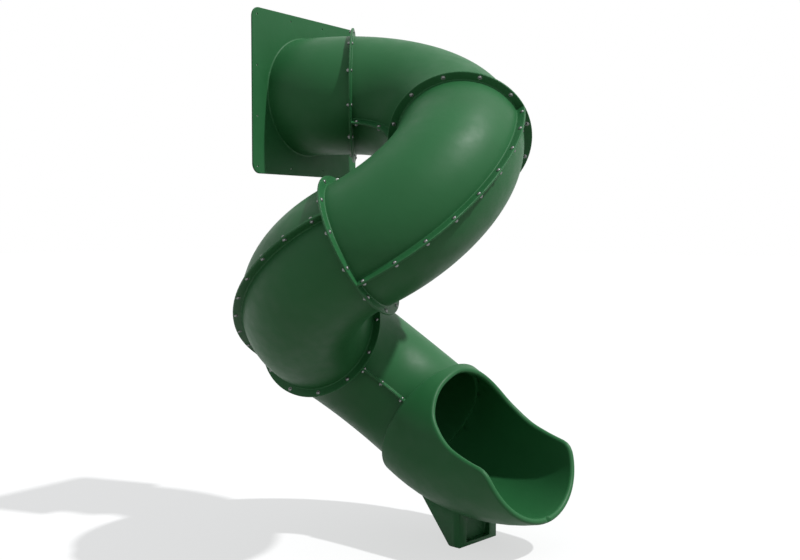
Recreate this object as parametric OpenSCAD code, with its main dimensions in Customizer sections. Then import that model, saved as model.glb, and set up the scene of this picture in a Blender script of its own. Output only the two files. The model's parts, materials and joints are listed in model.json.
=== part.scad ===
// Playground tube slide: deck panel with throat, four bolted elbows and an open exit scoop

/* [Deck panel] */
// Width and height of the square entrance panel
panel_w = 900; // [760:5:1100]
// Thickness of the panel
panel_t = 8; // [5:0.5:14]
// Radius of the panel corners
panel_corner_r = 55; // [20:1:90]
// Radius of the soft edge round the panel front
panel_edge_r = 3; // [1:0.5:5]
// Distance from the panel edge to the outer row of holes
panel_hole_margin = 38; // [25:1:60]
// Diameter of the fixing holes in the panel
panel_hole_d = 10; // [7:0.5:14]

/* [Tube] */
// Inside diameter of the tube
bore_d = 648; // [560:2:760]
// Thickness of the moulded wall
wall = 6; // [4:0.5:9]
// Radius of the tube centreline in every elbow
bend_r = 580; // [480:5:700]
// Radius of the bend in the throat, on the centreline
entry_bend_r = 475; // [400:5:600]
// Angle of the bend in the throat
entry_bend = 35; // [15:1:60]
// Radius of the rounded mouth on the deck side
mouth_r = 18; // [10:1:24]

/* [Flanges] */
// Outside diameter of the joint flanges
flange_d = 750; // [710:2:820]
// Thickness of one flange
flange_t = 6; // [4:0.5:9]
// Radius of the outer edge of a flange
flange_edge_r = 4; // [1:0.5:5]
// Radius of the fillet at the root of a flange
root_r = 8; // [3:0.5:10]
// Diameter of the bolt circle in the joint flanges
joint_circle_d = 710; // [690:1:740]
// Number of bolts in one joint
joint_bolts = 12; // [8:2:16]
// Distance from the centreline to the bolts of the long seams
seam_bolt_r = 360; // [350:1:366]
// Number of bolts on the outer seam of an elbow
seam_bolts = 9; // [6:1:9]
// First bolt angle on the outer seam of an elbow
seam_first = 3.8; // [3:0.1:6]
// Angle between bolts on the outer seam
seam_step = 10.5; // [8:0.1:14]
// Number of bolts on the inner seam of an elbow
inner_bolts = 3; // [2:1:4]
// First bolt angle on the inner seam of an elbow
inner_first = 8.4; // [6:0.1:12]

/* [Fasteners] */
// Nominal diameter of the bolts
bolt_d = 10; // [8:1:12]
// Diameter of the button heads
head_d = 17.5; // [14:0.5:21]
// Height of the button heads
head_h = 5.5; // [4:0.1:7]
// Width across the flats of the socket in a head
socket_af = 6; // [4:0.5:8]
// Depth of the socket in a head
socket_h = 3; // [2:0.1:4]
// Outside diameter of the washers
washer_d = 22; // [18:0.5:26]
// Thickness of the washers
washer_t = 1.8; // [1.2:0.1:2.5]
// Width across the flats of the nuts
nut_af = 17; // [13:0.5:19]
// Height of the nuts
nut_h = 8; // [6:0.1:10]
// Diameter of the threaded inserts in the exit scoop
insert_d = 15; // [13:0.5:18]
// Length of the threaded inserts
insert_h = 24; // [18:1:30]

/* [Exit scoop] */
// Angle of the exit bend
exit_bend = 45; // [30:1:60]
// Radius of the exit bend, on the centreline
exit_bend_r = 900; // [700:10:1200]
// Thickness of the double wall, which is also the width of the rolled rim
exit_wall = 33; // [24:1:40]
// Width of the drain notch in the rim
notch_w = 32; // [20:1:50]
// Depth of the drain notch in the rim
notch_h = 14; // [8:1:20]

/* [Foot] */
// Width of the foot across the slide
foot_w = 320; // [240:5:420]
// Height of the last joint over the ground
exit_height = 634; // [600:1:700]
// Distance from the last joint to the front of the foot
foot_front = 322; // [280:1:360]
// Length of the flat base of the foot
foot_base = 72; // [60:1:120]
// Slope of the back of the foot
foot_slope = 51; // [40:1:70]
// Radius of the lower back edge of the foot
foot_edge_r = 25; // [10:1:35]
// Depth of the pocket in the front of the foot
pocket_depth = 40; // [20:1:50]
// Width of each cheek beside the pocket
cheek_w = 60; // [40:1:120]
// Height of the base flange under the pocket
base_flange_t = 20; // [12:1:30]
// Diameter of the ground anchor holes
anchor_hole_d = 14; // [10:0.5:18]
// Distance between the ground anchor holes
anchor_spacing = 120; // [80:5:160]

/* [Hidden] */
bore_r = bore_d / 2;
tube_r = bore_r + wall;
flange_r = flange_d / 2;
hole_clearance = 1;
hole_d = bolt_d + hole_clearance;
washer_hole_d = bolt_d + hole_clearance / 2;
thread_end = 3;
root_set = 1.2;
weld_turn = 0.1;
cut_turn = 2;
hole_pitch = (panel_w - 2 * panel_hole_margin) / 3;
plastic = [0.13, 0.41, 0.24];
zinc = [0.75, 0.76, 0.77];
eps = 0.5;
$fn = 96;

// Turn of each elbow about the tube at joints one to five, in whole bolt steps
rolls = [30, 30, 60, 60, -60];
// Side of the heads at each joint: 0 is downstream, 1 upstream
joint_heads = [0, 0, 1, 1];
// Side of the heads on the seams of each elbow: 0 is the left half, 1 the other
seam_heads = [1, 1, 0, 1];

// Rim of the scoop as pairs of angle round the tube and distance along it
rim_points = [
  [0, 80], [13.5, 101], [29, 135], [42, 183], [56, 257], [66, 342], [75.5, 438], [82, 530],
  [88, 612], [92, 660], [97, 685], [105, 696], [125, 703], [150, 706], [180, 707]
];
rim_r = exit_wall / 2;
skin_r = flange_r - rim_r;
rim_columns = 52;
skin_rows = 12;
rim_rows = 8;
spline_steps = 6;

// Sub-part to draw

// Place of each joint, as a matrix with the tube along z and the next bend centre along x
function shift(v) = [[1, 0, 0, v[0]], [0, 1, 0, v[1]], [0, 0, 1, v[2]], [0, 0, 0, 1]];
function turn_x(a) = [[1, 0, 0, 0], [0, cos(a), -sin(a), 0], [0, sin(a), cos(a), 0], [0, 0, 0, 1]];
function turn_y(a) = [[cos(a), 0, sin(a), 0], [0, 1, 0, 0], [-sin(a), 0, cos(a), 0], [0, 0, 0, 1]];
function turn_z(a) = [[cos(a), -sin(a), 0, 0], [sin(a), cos(a), 0, 0], [0, 0, 1, 0], [0, 0, 0, 1]];
function bent(r, a) = shift([r, 0, 0]) * turn_y(a) * shift([-r, 0, 0]);
function joint(k) =
  k == 1
    ? turn_x(90) * shift([0, 0, panel_t]) * bent(entry_bend_r, entry_bend) * turn_z(180 + rolls[0])
    : joint(k - 1) * bent(bend_r, 90) * turn_z(rolls[k - 1]);

exit_at = [for (i = [0:2]) joint(5)[i][3]];
exit_heading = atan2(joint(5)[1][2], joint(5)[0][2]);

module at_joint(k) {
  multmatrix(joint(k)) children();
}

module after_bend(r, a) {
  multmatrix(bent(r, a)) children();
}

// Sweeps a section round the bend centre
module swept(r, a) {
  translate([r, 0, 0]) rotate([90, 0, 180]) rotate_extrude(angle = a) translate([r, 0]) children();
}

// Flange section from the tube wall outward, with the outer edge rounded on the bolted side
module flange_section() {
  inner = tube_r - wall / 2;
  flat = flange_r - flange_edge_r;
  translate([inner, 0]) square([flat - inner, flange_t]);
  intersection() {
    translate([flat - eps, 0]) square([flange_edge_r + eps, flange_t]);
    union() {
      translate([flat, flange_t - flange_edge_r]) circle(r = flange_edge_r);
      translate([flat - eps, 0]) square([flange_edge_r + eps, flange_t - flange_edge_r]);
    }
  }
}

// Fillet between the round wall and a seam flange, meeting the wall at a slight angle
module seam_fillet() {
  y = flange_t + root_r;
  reach = tube_r + root_r - root_set;
  x = sqrt(reach * reach - y * y);
  difference() {
    translate([tube_r - 2 * wall, flange_t - flange_edge_r]) square([x - tube_r + 2 * wall, root_r]);
    translate([x, y]) circle(r = root_r);
  }
}

module half_section() {
  difference() {
    union() {
      circle(r = tube_r);
      for (m = [0, 1]) mirror([m, 0]) {
        flange_section();
        seam_fillet();
      }
    }
    circle(r = bore_r);
    translate([-panel_w, -panel_w]) square([2 * panel_w, panel_w]);
  }
}

// Joint flange round the tube end, with any straight wall given as a section
module joint_flange() {
  reach = root_r - root_set;
  rise = sqrt(root_r * root_r - reach * reach);
  rotate_extrude() {
    flange_section();
    difference() {
      translate([tube_r - wall / 2, 0]) square([reach + wall / 2, flange_t + root_r - rise / 2]);
      translate([tube_r + reach, flange_t + root_r]) circle(r = root_r);
    }
    children();
  }
}

module round_joint() {
  step = 360 / joint_bolts;
  for (i = [0:joint_bolts - 1]) rotate([0, 0, step * (i + 0.5)])
    translate([joint_circle_d / 2, 0, 0]) children();
}

// Places along the outer and inner seams, looking along the clamping direction
module along_seams() {
  inner_step = (90 - 2 * inner_first) / (inner_bolts - 1);
  for (i = [0:seam_bolts - 1]) after_bend(bend_r, seam_first + seam_step * i)
    translate([-seam_bolt_r, 0, 0]) rotate([-90, 0, 0]) children();
  for (i = [0:inner_bolts - 1]) after_bend(bend_r, inner_first + inner_step * i)
    translate([seam_bolt_r, 0, 0]) rotate([-90, 0, 0]) children();
}

module joint_holes() {
  round_joint() translate([0, 0, -eps]) cylinder(d = hole_d, h = flange_t + 2 * eps);
}

module elbow_half(k, side) {
  color(plastic) at_joint(k) mirror([0, side, 0]) difference() {
    union() {
      swept(bend_r, 90) half_section();
      joint_flange();
      after_bend(bend_r, 90) mirror([0, 0, 1]) joint_flange();
    }
    translate([-flange_r - eps, -flange_d, -eps]) cube([flange_d + bend_r, flange_d, flange_d + bend_r]);
    joint_holes();
    after_bend(bend_r, 90) mirror([0, 0, 1]) joint_holes();
    along_seams() translate([0, 0, -eps]) cylinder(d = hole_d, h = flange_t + 2 * eps);
  }
}

module rounded_square(w, r) {
  square([w - 2 * r, w], center = true);
  square([w, w - 2 * r], center = true);
  for (x = [-1, 1], y = [-1, 1]) translate([x, y] * (w / 2 - r)) circle(r = r);
}

module panel_plate() {
  side = panel_w - 2 * panel_corner_r;
  in = panel_w / 2 - panel_edge_r;
  linear_extrude(panel_t - panel_edge_r) rounded_square(panel_w, panel_corner_r);
  linear_extrude(panel_t)
    rounded_square(panel_w - 2 * panel_edge_r, panel_corner_r - panel_edge_r);
  translate([0, 0, panel_t - panel_edge_r]) for (q = [0:3]) rotate([0, 0, 90 * q]) {
    translate([in, 0, 0]) rotate([90, 0, 0]) cylinder(r = panel_edge_r, h = side, center = true);
    translate([side / 2, side / 2, 0]) rotate_extrude(angle = 90)
      translate([panel_corner_r - panel_edge_r, 0]) circle(r = panel_edge_r);
  }
}

// Fillet where the throat grows out of the panel
module throat_root() {
  r = mouth_r - panel_t;
  reach = r - root_set;
  rise = sqrt(r * r - reach * reach);
  difference() {
    translate([tube_r - wall / 2, panel_t - eps]) square([reach + wall / 2, r + eps - rise / 2]);
    translate([tube_r + reach, panel_t + r]) circle(r = r);
  }
}

// Rounded mouth on the deck side
module mouth_section() {
  difference() {
    translate([0, -eps]) square([bore_r + mouth_r, 0.8 * mouth_r + eps]);
    translate([bore_r + mouth_r, mouth_r]) circle(r = mouth_r);
  }
}

// Solid bend that starts and ends a little past the plain turn
module throat_bend(r, before, after) {
  after_bend(entry_bend_r, -before) swept(entry_bend_r, before + entry_bend + after) circle(r = r);
}

module panel_holes() {
  for (i = [0:3], j = [0:3]) if (i % 3 == 0 || j % 3 == 0)
    translate([(i - 1.5) * hole_pitch, (j - 1.5) * hole_pitch, -eps])
      cylinder(d = panel_hole_d, h = panel_t + 2 * eps);
}

module entry_panel() {
  color(plastic) rotate([90, 0, 0]) difference() {
    union() {
      panel_plate();
      rotate_extrude() throat_root();
      translate([0, 0, panel_t]) {
        throat_bend(tube_r, weld_turn, -weld_turn);
        after_bend(entry_bend_r, entry_bend) mirror([0, 0, 1])
          joint_flange() square([tube_r, flange_t / 2]);
      }
    }
    translate([0, 0, panel_t]) throat_bend(bore_r, cut_turn, cut_turn);
    rotate_extrude() mouth_section();
    panel_holes();
    multmatrix(turn_x(-90) * joint(1)) mirror([0, 0, 1]) joint_holes();
  }
}

// Smooth curve through the rim points, with mirrored ends
function rim_at(i) =
  i < 0 ? [-rim_points[-i][0], rim_points[-i][1]]
  : i >= len(rim_points) ? [360 - rim_points[2 * len(rim_points) - 2 - i][0],
                            rim_points[2 * len(rim_points) - 2 - i][1]]
  : rim_points[i];
function blend(a, b, c, d, t) =
  b + (c - a) * t / 2 + (2 * a - 5 * b + 4 * c - d) * t * t / 2
  + (3 * b - a - 3 * c + d) * t * t * t / 2;
rim_fine = [
  for (i = [0:len(rim_points) - 2], j = [0:spline_steps - 1])
    blend(rim_at(i - 1), rim_at(i), rim_at(i + 1), rim_at(i + 2), j / spline_steps),
  rim_points[len(rim_points) - 1]
];
arc_scale = skin_r * PI / 180;
function step_len(i) =
  norm([(rim_fine[i][0] - rim_fine[i - 1][0]) * arc_scale, rim_fine[i][1] - rim_fine[i - 1][1]]);
rim_run = [for (i = 0, n = 0; i < len(rim_fine); i = i + 1, n = n + (i < len(rim_fine) ? step_len(i) : 0)) n];
run_angle = [for (i = [0:len(rim_fine) - 1]) [rim_run[i], rim_fine[i][0]]];
run_along = [for (i = [0:len(rim_fine) - 1]) [rim_run[i], rim_fine[i][1]]];
rim_length = rim_run[len(rim_run) - 1];

// Rim line at one column, as angle and distance along
function edge_in(i) =
  [lookup(rim_length * i / rim_columns, run_angle), lookup(rim_length * i / rim_columns, run_along)];
function edge(i) =
  i < 0 ? [-edge_in(-i)[0], edge_in(-i)[1]]
  : i > rim_columns ? [360 - edge_in(2 * rim_columns - i)[0], edge_in(2 * rim_columns - i)[1]]
  : edge_in(i);

// Point of the scoop at a distance along, an angle round and a radius
function skin_point(s, q, r) =
  let (a = s / exit_bend_r * 180 / PI)
  [exit_bend_r + (r * cos(q) - exit_bend_r) * cos(a), r * sin(q),
   (exit_bend_r - r * cos(q)) * sin(a)];

// Closed section of the double wall at one column, from the joint over the rim and back
function wall_column(i) =
  let (
    e = edge(i),
    shrink = 1 - skin_r * cos(e[0]) / exit_bend_r,
    across = (edge(i + 1)[0] - edge(i - 1)[0]) * arc_scale,
    along = (edge(i + 1)[1] - edge(i - 1)[1]) * shrink,
    in_q = along / norm([across, along]),
    in_s = -across / norm([across, along]),
    q = e[0] + in_q * rim_r / arc_scale,
    s = e[1] + in_s * rim_r / shrink,
    root = 180 * i / rim_columns
  )
  [
    for (j = [0:skin_rows]) skin_point(s * j / skin_rows, root + (q - root) * j / skin_rows, flange_r),
    for (j = [1:rim_rows - 1]) let (a = 90 - 180 * j / rim_rows)
      skin_point(s - in_s * rim_r * cos(a) / shrink, q - in_q * rim_r * cos(a) / arc_scale,
                 skin_r + rim_r * sin(a)),
    for (j = [skin_rows:-1:0])
      skin_point(s * j / skin_rows, root + (q - root) * j / skin_rows, flange_r - exit_wall)
  ];

module scoop_shell() {
  half = [for (i = [0:rim_columns]) wall_column(i)];
  columns = concat(half, [for (i = [rim_columns - 1:-1:1]) [for (p = half[i]) [p[0], -p[1], p[2]]]]);
  n = len(columns);
  m = len(half[0]);
  polyhedron(
    points = [for (c = columns, p = c) p],
    faces = [
      for (i = [0:n - 1], j = [0:m - 1])
        let (a = i * m + j, b = i * m + (j + 1) % m, c = (i + 1) % n * m + (j + 1) % m,
             d = (i + 1) % n * m + j)
        each [[a, b, c], [a, c, d]]
    ]
  );
}

module foot_side() {
  x = foot_front - foot_base;
  run = foot_edge_r * tan(foot_slope / 2);
  back = [-cos(foot_slope), sin(foot_slope)];
  polygon([
    [x + run, 0], [foot_front, 0], [foot_front, exit_height / 2],
    [x, 0] + back * exit_height / 2 / back[1], [x, 0] + back * run
  ]);
  translate([x + run, foot_edge_r]) circle(r = foot_edge_r);
}

// Foot under the scoop, level with the ground, open in front between two cheeks
module foot_block() {
  translate([exit_at[0], exit_at[1], exit_at[2] - exit_height]) rotate([0, 0, exit_heading])
    difference() {
      rotate([90, 0, 0]) linear_extrude(foot_w, center = true) foot_side();
      translate([foot_front - pocket_depth, cheek_w - foot_w / 2, base_flange_t])
        cube([foot_base, foot_w - 2 * cheek_w, exit_height]);
      for (y = [-1, 1]) translate([foot_front - pocket_depth / 2, y * anchor_spacing / 2, -eps])
        cylinder(d = anchor_hole_d, h = base_flange_t + 2 * eps);
    }
}

module exit_scoop() {
  color(plastic) difference() {
    union() {
      at_joint(5) scoop_shell();
      difference() {
        foot_block();
        at_joint(5) swept(exit_bend_r, exit_bend) circle(r = skin_r);
      }
    }
    at_joint(5) round_joint() translate([0, 0, -eps]) cylinder(d = insert_d, h = insert_h + eps);
    at_joint(5) after_bend(exit_bend_r, exit_bend) translate([-skin_r, 0, 0])
      rotate([0, 90, 0]) linear_extrude(2 * exit_wall, center = true)
        polygon([[eps, -notch_w / 2], [notch_h, 0], [eps, notch_w / 2], [-notch_h, 0]]);
  }
}

// Fasteners stand on z = 0 with the clamped flanges below
module button_bolt(grip) {
  cap_r = (head_d * head_d / 4 + head_h * head_h) / (2 * head_h);
  difference() {
    union() {
      intersection() {
        translate([0, 0, washer_t + head_h - cap_r]) sphere(r = cap_r);
        translate([0, 0, washer_t]) cylinder(d = head_d, h = head_h);
      }
      translate([0, 0, -grip]) cylinder(d = bolt_d, h = grip + washer_t + eps);
    }
    translate([0, 0, washer_t + head_h - socket_h])
      cylinder(d = socket_af / cos(30), h = socket_h + eps, $fn = 6);
  }
}

module washer() {
  difference() {
    cylinder(d = washer_d, h = washer_t);
    translate([0, 0, -eps]) cylinder(d = washer_hole_d, h = washer_t + 2 * eps);
  }
}

module hex_nut() {
  difference() {
    intersection() {
      cylinder(d = nut_af / cos(30), h = nut_h, $fn = 6);
      cylinder(d1 = nut_af + 2 * nut_h, d2 = nut_af - 1, h = nut_h + eps);
    }
    translate([0, 0, -eps]) cylinder(d = bolt_d, h = nut_h + 2 * eps);
  }
}

// Turns a clamped pair of flanges so that the heads are on the chosen side
module head_side(side) {
  mirror([0, 0, side]) translate([0, 0, flange_t]) children();
}

module bolt_through() {
  button_bolt(2 * flange_t + washer_t + nut_h + thread_end);
}

module washer_pair() {
  washer();
  translate([0, 0, -2 * flange_t - washer_t]) washer();
}

module nut_behind() {
  translate([0, 0, -2 * flange_t - washer_t]) mirror([0, 0, 1]) hex_nut();
}

module joint_set(k) {
  color(zinc) at_joint(k) round_joint() head_side(joint_heads[k - 1]) children();
}

module seam_set(k) {
  color(zinc) at_joint(k) along_seams() head_side(seam_heads[k - 1]) children();
}

module exit_inserts() {
  color(zinc) at_joint(5) round_joint() difference() {
    cylinder(d = insert_d, h = insert_h);
    translate([0, 0, -eps]) cylinder(d = bolt_d, h = insert_h - thread_end + eps);
  }
}

module exit_bolts() {
  color(zinc) at_joint(5) round_joint() mirror([0, 0, 1]) translate([0, 0, flange_t])
    button_bolt(flange_t + insert_h - 2 * thread_end);
}

module exit_washers() {
  color(zinc) at_joint(5) round_joint() mirror([0, 0, 1]) translate([0, 0, flange_t]) washer();
}

entry_panel();
elbow_half(1, 0);  // elbow_1_upper
elbow_half(1, 1);  // elbow_1_lower
elbow_half(2, 0);  // elbow_2_upper
elbow_half(2, 1);  // elbow_2_lower
elbow_half(3, 0);  // elbow_3_upper
elbow_half(3, 1);  // elbow_3_lower
elbow_half(4, 0);  // elbow_4_upper
elbow_half(4, 1);  // elbow_4_lower
exit_scoop();
exit_inserts();
exit_bolts();
exit_washers();
joint_set(1) bolt_through();  // joint_1_bolts
joint_set(1) washer_pair();  // joint_1_washers
joint_set(1) nut_behind();  // joint_1_nuts
joint_set(2) bolt_through();  // joint_2_bolts
joint_set(2) washer_pair();  // joint_2_washers
joint_set(2) nut_behind();  // joint_2_nuts
joint_set(3) bolt_through();  // joint_3_bolts
joint_set(3) washer_pair();  // joint_3_washers
joint_set(3) nut_behind();  // joint_3_nuts
joint_set(4) bolt_through();  // joint_4_bolts
joint_set(4) washer_pair();  // joint_4_washers
joint_set(4) nut_behind();  // joint_4_nuts
seam_set(1) bolt_through();  // seam_1_bolts
seam_set(1) washer_pair();  // seam_1_washers
seam_set(1) nut_behind();  // seam_1_nuts
seam_set(2) bolt_through();  // seam_2_bolts
seam_set(2) washer_pair();  // seam_2_washers
seam_set(2) nut_behind();  // seam_2_nuts
seam_set(3) bolt_through();  // seam_3_bolts
seam_set(3) washer_pair();  // seam_3_washers
seam_set(3) nut_behind();  // seam_3_nuts
seam_set(4) bolt_through();  // seam_4_bolts
seam_set(4) washer_pair();  // seam_4_washers
seam_set(4) nut_behind();  // seam_4_nuts
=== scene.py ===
import json
import math
import bmesh
import bpy
from mathutils import Matrix, Vector

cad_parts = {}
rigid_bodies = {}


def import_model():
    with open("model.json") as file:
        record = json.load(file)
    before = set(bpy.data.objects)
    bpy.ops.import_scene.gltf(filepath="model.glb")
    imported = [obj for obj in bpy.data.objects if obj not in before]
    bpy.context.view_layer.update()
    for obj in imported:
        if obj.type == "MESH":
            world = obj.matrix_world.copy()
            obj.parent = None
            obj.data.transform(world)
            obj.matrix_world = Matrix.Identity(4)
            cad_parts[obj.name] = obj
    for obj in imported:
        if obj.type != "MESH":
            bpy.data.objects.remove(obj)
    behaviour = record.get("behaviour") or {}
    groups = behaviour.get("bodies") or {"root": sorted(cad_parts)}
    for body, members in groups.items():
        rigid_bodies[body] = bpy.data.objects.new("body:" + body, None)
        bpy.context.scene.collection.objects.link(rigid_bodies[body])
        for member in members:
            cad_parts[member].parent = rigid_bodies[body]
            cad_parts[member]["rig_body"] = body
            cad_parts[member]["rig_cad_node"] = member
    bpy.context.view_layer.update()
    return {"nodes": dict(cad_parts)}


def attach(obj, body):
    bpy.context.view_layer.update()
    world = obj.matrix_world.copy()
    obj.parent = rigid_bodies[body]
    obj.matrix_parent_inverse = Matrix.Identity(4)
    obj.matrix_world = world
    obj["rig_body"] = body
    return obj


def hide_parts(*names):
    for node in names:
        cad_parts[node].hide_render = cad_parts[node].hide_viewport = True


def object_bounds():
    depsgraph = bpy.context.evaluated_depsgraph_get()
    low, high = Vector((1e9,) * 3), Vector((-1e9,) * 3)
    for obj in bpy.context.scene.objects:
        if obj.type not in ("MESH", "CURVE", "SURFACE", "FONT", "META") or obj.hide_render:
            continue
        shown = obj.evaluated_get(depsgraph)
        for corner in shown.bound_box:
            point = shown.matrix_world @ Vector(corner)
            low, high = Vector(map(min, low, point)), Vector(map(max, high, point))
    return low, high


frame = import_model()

nodes = frame["nodes"]
scene = bpy.context.scene


# Nodes of the materials and the world

MIX_A, MIX_B, MIX_RESULT = 6, 7, 2
NOISE_SPAN = (0.3, 0.7)


def empty_tree(block):
    """The node tree of a material or the world, with nothing in it."""
    block.use_nodes = True
    block.node_tree.nodes.clear()
    return block.node_tree


def add(tree, kind, sockets=None, **settings):
    """A new node. A socket is linked where its value is another node's output, and set otherwise."""
    node = tree.nodes.new(kind)
    for key, value in settings.items():
        setattr(node, key, value)
    for key, value in (sockets or {}).items():
        if isinstance(value, bpy.types.NodeSocket):
            tree.links.new(value, node.inputs[key])
        else:
            node.inputs[key].default_value = value
    return node


def noise(tree, coords, scale, detail):
    sockets = {"Vector": coords, "Scale": scale, "Detail": detail}
    return add(tree, "ShaderNodeTexNoise", sockets).outputs["Fac"]


def spread(tree, value, low, high, span=NOISE_SPAN):
    """The value's span, unless given the one that most of a noise lies in, spread from low to high."""
    sockets = {"Value": value, "From Min": span[0], "From Max": span[1], "To Min": low, "To Max": high}
    return add(tree, "ShaderNodeMapRange", sockets).outputs["Result"]


def mix(tree, factor, a, b):
    """Two colours mixed. The node's colour sockets go by number, because others share their names."""
    sockets = {"Factor": factor, MIX_A: a, MIX_B: b}
    return add(tree, "ShaderNodeMix", sockets, data_type="RGBA").outputs[MIX_RESULT]


def choose(tree, factor, a, b):
    """The first shader where the factor is 0, and the second where it is 1."""
    return add(tree, "ShaderNodeMixShader", {"Fac": factor, 1: a, 2: b}).outputs["Shader"]


def background_rays(tree):
    """1 for the rays that see the background: straight from the camera, mirrored, or through glass."""
    path = add(tree, "ShaderNodeLightPath").outputs
    seen = path["Is Camera Ray"]
    for ray in ("Is Glossy Ray", "Is Transmission Ray"):
        seen = add(tree, "ShaderNodeMath", {0: seen, 1: path[ray]}, operation="MAXIMUM").outputs["Value"]
    return seen


# Plastic and zinc

GREEN = (0.022, 0.134, 0.044, 1.0)
GREEN_DEEP = (0.019, 0.116, 0.037, 1.0)
GREEN_WORN = (0.041, 0.180, 0.072, 1.0)
WORN_POINTEDNESS = (0.52, 0.62)
WORN_SHARE = 0.35
EDGE_RADIUS = 0.004
WAVES = {"Strength": 0.25, "Distance": 0.004}
GRAIN = {"Strength": 0.18, "Distance": 0.0006}
PLASTIC_ROUGHNESS = (0.44, 0.54)
PLASTIC_SPECULAR = 0.22

ZINC_DARK = (0.15, 0.16, 0.155, 1.0)
ZINC_PALE = (0.26, 0.27, 0.26, 1.0)
ZINC_ROUGHNESS = (0.42, 0.56)
ZINC_NODES = ("bolts", "washers", "nuts", "inserts")


def moulded_plastic(name):
    """Satin moulded plastic: slow drifts of tone, fine grain, and paler rubbed edges."""
    mat = bpy.data.materials.new(name)
    tree = empty_tree(mat)
    coords = add(tree, "ShaderNodeTexCoord").outputs["Object"]
    drift = noise(tree, coords, 2.2, 3.0)
    patch = noise(tree, coords, 14.0, 4.0)
    grain = noise(tree, coords, 420.0, 2.0)
    tone = mix(tree, spread(tree, drift, 0.0, 1.0), GREEN_DEEP, GREEN)
    pointed = add(tree, "ShaderNodeNewGeometry").outputs["Pointiness"]
    worn = spread(tree, pointed, 0.0, WORN_SHARE, WORN_POINTEDNESS)
    edges = add(tree, "ShaderNodeBevel", {"Radius": EDGE_RADIUS}, samples=6).outputs["Normal"]
    waves = add(tree, "ShaderNodeBump", {**WAVES, "Height": patch, "Normal": edges}).outputs["Normal"]
    fine = add(tree, "ShaderNodeBump", {**GRAIN, "Height": grain, "Normal": waves}).outputs["Normal"]
    shader = add(tree, "ShaderNodeBsdfPrincipled", {
        "Base Color": mix(tree, worn, tone, GREEN_WORN),
        "Roughness": spread(tree, patch, *PLASTIC_ROUGHNESS),
        "Specular IOR Level": PLASTIC_SPECULAR,
        "Normal": fine,
    })
    add(tree, "ShaderNodeOutputMaterial", {"Surface": shader.outputs["BSDF"]})
    return mat


def zinc_plate(name):
    """Dull zinc plate with a faint cloud in its tone and gloss."""
    mat = bpy.data.materials.new(name)
    tree = empty_tree(mat)
    coords = add(tree, "ShaderNodeTexCoord").outputs["Object"]
    cloud = noise(tree, coords, 160.0, 3.0)
    shader = add(tree, "ShaderNodeBsdfPrincipled", {
        "Base Color": mix(tree, spread(tree, cloud, 0.0, 1.0), ZINC_DARK, ZINC_PALE),
        "Metallic": 1.0,
        "Roughness": spread(tree, cloud, *ZINC_ROUGHNESS),
    })
    add(tree, "ShaderNodeOutputMaterial", {"Surface": shader.outputs["BSDF"]})
    return mat


plastic = moulded_plastic("green_plastic")
zinc = zinc_plate("zinc_steel")
for name, obj in nodes.items():
    obj.data.materials.clear()
    obj.data.materials.append(zinc if name.endswith(ZINC_NODES) else plastic)


# The scoop again as one smooth skin, because its node's small flat faces each have their own edges

WELD = 0.00002
SHARP = math.radians(32)


def smooth_copy(node, name):
    obj = nodes[node].copy()
    obj.data = nodes[node].data.copy()
    obj.name = name
    obj.data.name = name
    obj.parent = None
    obj.matrix_world = Matrix.Identity(4)
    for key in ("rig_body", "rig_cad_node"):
        if key in obj:
            del obj[key]
    scene.collection.objects.link(obj)
    bm = bmesh.new()
    bm.from_mesh(obj.data)
    bmesh.ops.remove_doubles(bm, verts=bm.verts, dist=WELD)
    for face in bm.faces:
        face.smooth = True
    bm.to_mesh(obj.data)
    bm.free()
    obj.data.set_sharp_from_angle(angle=SHARP)
    even = obj.modifiers.new("even_normals", "WEIGHTED_NORMAL")
    even.keep_sharp = True
    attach(obj, "root")
    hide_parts(node)


smooth_copy("exit_scoop", "exit_scoop_skin")


# Floor and world: white where they are seen, and a plain level of light on the object

FLOOR_HALF = 60
FLOOR_GLOW = 0.62
SKY_LEVEL = 0.38
WHITE = (1.0, 1.0, 1.0, 1.0)
SHADED = (0.36, 0.36, 0.36, 1.0)
EARTH = (0.26, 0.22, 0.18, 1.0)
SKY = (0.93, 0.97, 1.0, 1.0)

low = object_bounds()[0]
corners = [(x * FLOOR_HALF, y * FLOOR_HALF, low.z) for x, y in ((-1, -1), (1, -1), (1, 1), (-1, 1))]
floor_mesh = bpy.data.meshes.new("floor")
floor_mesh.from_pydata(corners, [], [(0, 1, 2, 3)])
floor = bpy.data.objects.new("floor", floor_mesh)
scene.collection.objects.link(floor)


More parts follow.
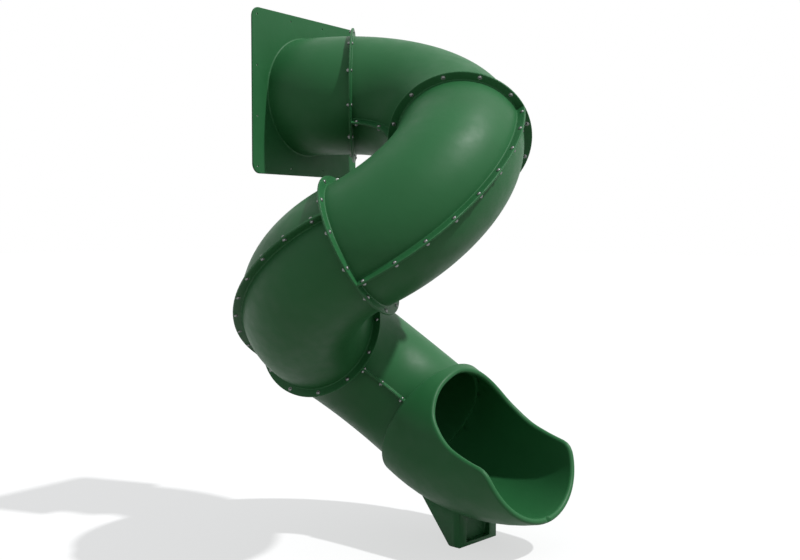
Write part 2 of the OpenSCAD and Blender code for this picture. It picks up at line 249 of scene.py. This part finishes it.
def pale_floor(name):
    """White where it is seen, with the object's shadow on it, and a dim earth tone to the object."""
    mat = bpy.data.materials.new(name)
    tree = empty_tree(mat)
    earth = add(tree, "ShaderNodeBsdfDiffuse", {"Color": EARTH}).outputs["BSDF"]
    shaded = add(tree, "ShaderNodeBsdfDiffuse", {"Color": SHADED}).outputs["BSDF"]
    glow = add(tree, "ShaderNodeEmission", {"Color": WHITE, "Strength": FLOOR_GLOW}).outputs["Emission"]
    seen = add(tree, "ShaderNodeAddShader", {0: shaded, 1: glow}).outputs["Shader"]
    surface = choose(tree, background_rays(tree), earth, seen)
    add(tree, "ShaderNodeOutputMaterial", {"Surface": surface})
    return mat


floor.data.materials.append(pale_floor("floor"))

world = bpy.data.worlds.new("studio")
scene.world = world
world_tree = empty_tree(world)
fill = add(world_tree, "ShaderNodeBackground", {"Color": SKY, "Strength": SKY_LEVEL}).outputs["Background"]
backdrop = add(world_tree, "ShaderNodeBackground", {"Color": WHITE, "Strength": 1.0}).outputs["Background"]
sky = choose(world_tree, background_rays(world_tree), fill, backdrop)
add(world_tree, "ShaderNodeOutputWorld", {"Surface": sky})


# Camera found from the photograph: one pinhole fitted to the panel, the rings and the outlines

CAM_AT = Vector((-4.5634, -3.9489, -0.7535))
CAM_TURN = math.radians(54.27)
CAM_DIP = math.radians(2.82)
SENSOR = 36.0
FOCAL_IN_WIDTHS = 1035.04 / 800

forward = Vector((
    math.sin(CAM_TURN) * math.cos(CAM_DIP),
    math.cos(CAM_TURN) * math.cos(CAM_DIP),
    -math.sin(CAM_DIP),
))
right = Vector((math.cos(CAM_TURN), -math.sin(CAM_TURN), 0.0))
up = right.cross(forward)

cam_data = bpy.data.cameras.new("camera")
cam_data.sensor_width = SENSOR
cam_data.lens = FOCAL_IN_WIDTHS * SENSOR
cam_data.clip_start = 0.05
cam_data.clip_end = 300.0
camera = bpy.data.objects.new("camera", cam_data)
camera.matrix_world = Matrix((right, up, -forward)).transposed().to_4x4()
camera.location = CAM_AT
scene.collection.objects.link(camera)
scene.camera = camera


# Key light: high, on the camera's right and a little towards it, as the photograph's shadows fall

KEY_TOWARDS = Vector((0.158, -0.551, 0.819))
KEY_LEVEL = 3.0
KEY_ANGLE = math.radians(1.8)

key_data = bpy.data.lights.new("key", "SUN")
key_data.energy = KEY_LEVEL
key_data.angle = KEY_ANGLE
key = bpy.data.objects.new("key", key_data)
key.rotation_mode = "QUATERNION"
key.rotation_quaternion = KEY_TOWARDS.to_track_quat("Z", "Y")
scene.collection.objects.link(key)

scene.view_settings.view_transform = "Standard"
